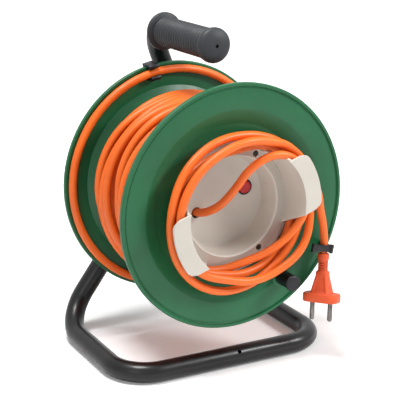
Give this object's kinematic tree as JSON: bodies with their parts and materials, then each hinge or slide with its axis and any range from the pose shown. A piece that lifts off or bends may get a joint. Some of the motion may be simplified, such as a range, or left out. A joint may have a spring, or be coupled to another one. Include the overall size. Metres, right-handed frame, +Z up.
{
  "type": "extension cord reel",
  "caption": "Portable cord reel: a hand-wound drum of extension cord on a bent-tube stand with a carrying grip, and a cleated bowl for the plug lead.",
  "frame": {"origin": "middle of the stand's footprint on the floor, under the middle of the reel's bounding box", "axes": "+Z up, the bowl and plug face -Y, +X to the right of someone who faces the bowl"},
  "size_m": [0.2418, 0.219, 0.335],
  "materials": {
    "black_enamel": "satin black enamel on bent tube",
    "grip_rubber": "ribbed dark grey rubber",
    "zinc_steel": "zinc plated",
    "spring_steel": "dark oiled spring steel",
    "green_plastic": "moulded green polypropylene, semi gloss",
    "bush_plastic": "natural acetal",
    "bowl_plastic": "moulded warm beige plastic, satin",
    "black_plastic": "moulded black plastic",
    "cord_sheath": "smooth orange flexible sheath",
    "plug_plastic": "moulded soft orange plastic",
    "contact_brass": "plain brass",
    "plated_pin": "nickel plated",
    "red_plastic": "moulded red plastic"
  },
  "bodies": {
    "stand": {"frame_tube": "black_enamel", "handle_grip": "grip_rubber", "axle": "zinc_steel", "axle_spacer": "zinc_steel", "axle_washers": "zinc_steel", "axle_nut": "zinc_steel", "retaining_ring": "spring_steel"},
    "drum": {"front_flange": "green_plastic", "rear_flange": "green_plastic", "drum_barrel": "green_plastic", "hub_bushes": "bush_plastic", "flange_screws": "zinc_steel", "lead_bowl": "bowl_plastic", "bowl_screws": "zinc_steel", "lead_gland": "black_plastic", "cutout_body": "black_plastic", "winding_core": "cord_sheath", "cord_winding": "cord_sheath", "extension_socket": "plug_plastic", "socket_contacts": "contact_brass", "rim_clip": "black_plastic", "lead_start": "cord_sheath", "lead_coil": "cord_sheath", "lead_tail": "cord_sheath", "lead_clip": "black_plastic", "plug_body": "plug_plastic", "plug_pins": "plated_pin", "knob_pin": "zinc_steel"},
    "knob": {"winding_knob": "black_plastic"},
    "button": {"reset_button": "red_plastic"}
  },
  "joints": [
    {"name": "drum_spin", "type": "hinge", "parent": "stand", "child": "drum", "pos_m": [0, -0.01025, 0.165], "axis": [0, -1, 0], "continuous": true},
    {"name": "knob_spin", "type": "hinge", "parent": "drum", "child": "knob", "pos_m": [0.05449, -0.08825, 0.08718], "axis": [0, -1, 0], "continuous": true},
    {"name": "reset_press", "type": "slide", "parent": "drum", "child": "button", "axis": [0, 1, 0], "range_m": [0, 0.003], "stiffness_N_per_m": 400, "springref_m": -0.001}
  ]
}
